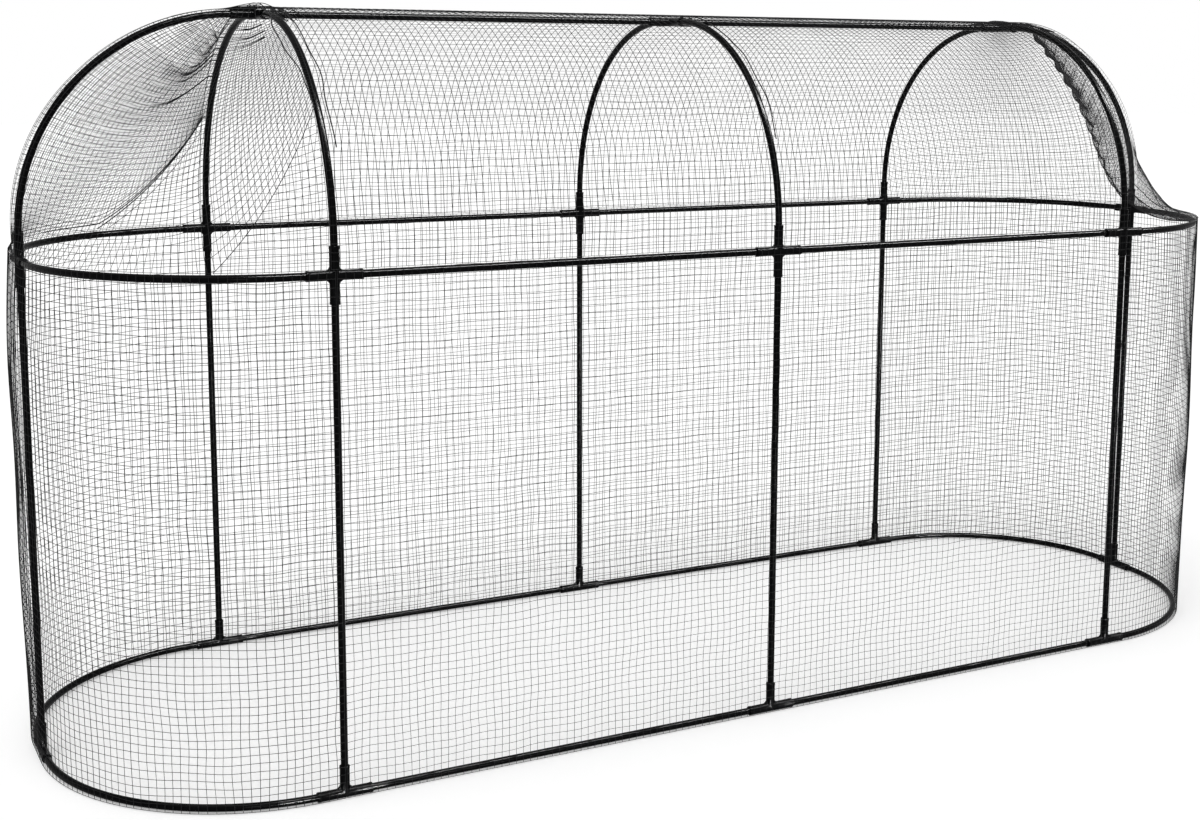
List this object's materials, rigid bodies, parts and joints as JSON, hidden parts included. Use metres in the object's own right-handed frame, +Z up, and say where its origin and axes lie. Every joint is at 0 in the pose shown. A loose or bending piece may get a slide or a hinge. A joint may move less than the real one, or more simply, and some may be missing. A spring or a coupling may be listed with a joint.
{
  "type": "fruit cage",
  "caption": "Walk-in netted cage with round ends and an arched roof: a push-fit black tube frame in moulded connectors under a fine black net cover.",
  "frame": {"origin": "middle of the cage's plan, on the ground", "axes": "+X along the ridge to the right end, -Y to the front, +Z up"},
  "size_m": [3.6286, 1.2286, 1.8763],
  "materials": {
    "tube": "satin black powder coat on steel tube",
    "connector": "fine-grained matt black moulding",
    "net": "matt black woven garden net"
  },
  "bodies": {
    "root": {"base_tee_front_left": "connector", "base_tee_front_middle": "connector", "base_tee_front_right": "connector", "base_tee_back_left": "connector", "base_tee_back_middle": "connector", "base_tee_back_right": "connector", "base_tee_left_end": "connector", "base_tee_right_end": "connector", "waist_cross_front_left": "connector", "waist_cross_front_middle": "connector", "waist_cross_front_right": "connector", "waist_cross_back_left": "connector", "waist_cross_back_middle": "connector", "waist_cross_back_right": "connector", "waist_cross_left_end": "connector", "waist_cross_right_end": "connector", "crown_cross_left": "connector", "crown_cross_middle": "connector", "crown_cross_right": "connector", "post_front_left": "tube", "post_front_middle": "tube", "post_front_right": "tube", "post_back_left": "tube", "post_back_middle": "tube", "post_back_right": "tube", "post_left_end": "tube", "post_right_end": "tube", "base_rail_front_left": "tube", "base_rail_front_right": "tube", "base_rail_back_left": "tube", "base_rail_back_right": "tube", "base_bend_front_left": "tube", "base_bend_front_right": "tube", "base_bend_back_left": "tube", "base_bend_back_right": "tube", "waist_rail_front_left": "tube", "waist_rail_front_right": "tube", "waist_rail_back_left": "tube", "waist_rail_back_right": "tube", "waist_bend_front_left": "tube", "waist_bend_front_right": "tube", "waist_bend_back_left": "tube", "waist_bend_back_right": "tube", "arch_left_front": "tube", "arch_left_back": "tube", "arch_middle_front": "tube", "arch_middle_back": "tube", "arch_right_front": "tube", "arch_right_back": "tube", "hip_left": "tube", "hip_right": "tube", "ridge_left": "tube", "ridge_right": "tube", "net_front": "net", "net_back": "net", "net_left_end": "net", "net_right_end": "net", "net_roof": "net", "net_left_hood": "net", "net_right_hood": "net"}
  },
  "joints": []
}
